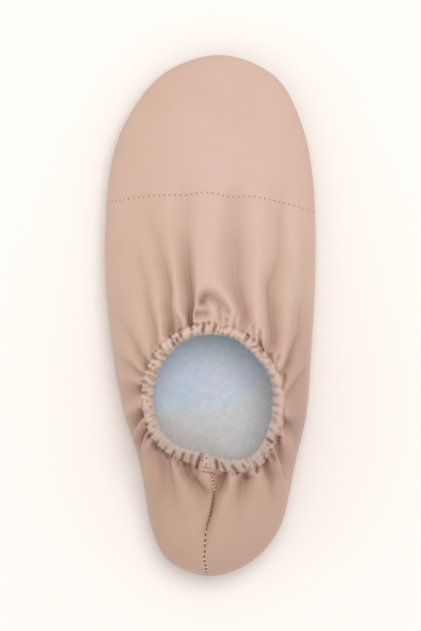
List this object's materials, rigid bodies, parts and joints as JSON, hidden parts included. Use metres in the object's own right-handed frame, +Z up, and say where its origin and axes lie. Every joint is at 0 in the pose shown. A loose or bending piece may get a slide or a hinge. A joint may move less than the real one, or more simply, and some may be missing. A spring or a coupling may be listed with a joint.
{
  "type": "water shoe",
  "caption": "Slip-on water shoe for the left foot: thin cloth upper gathered into a small round elastic collar, pale foam insole, thin grooved rubber outsole.",
  "frame": {"origin": "on the floor under the middle of the shoe's plan", "axes": "+Y from heel to toe, +X to the inner side of the foot, +Z up"},
  "size_m": [0.0973, 0.24, 0.0471],
  "materials": {
    "upper_cloth": "dusty rose satin knit, soft sheen",
    "collar_cloth": "gathered rose cloth casing over elastic",
    "insole_cloth": "matte pale blue footbed cloth on foam",
    "outsole_rubber": "matte moulded rubber"
  },
  "bodies": {
    "root": {"upper": "upper_cloth", "collar_band": "collar_cloth", "insole": "insole_cloth", "outsole": "outsole_rubber"}
  },
  "joints": []
}
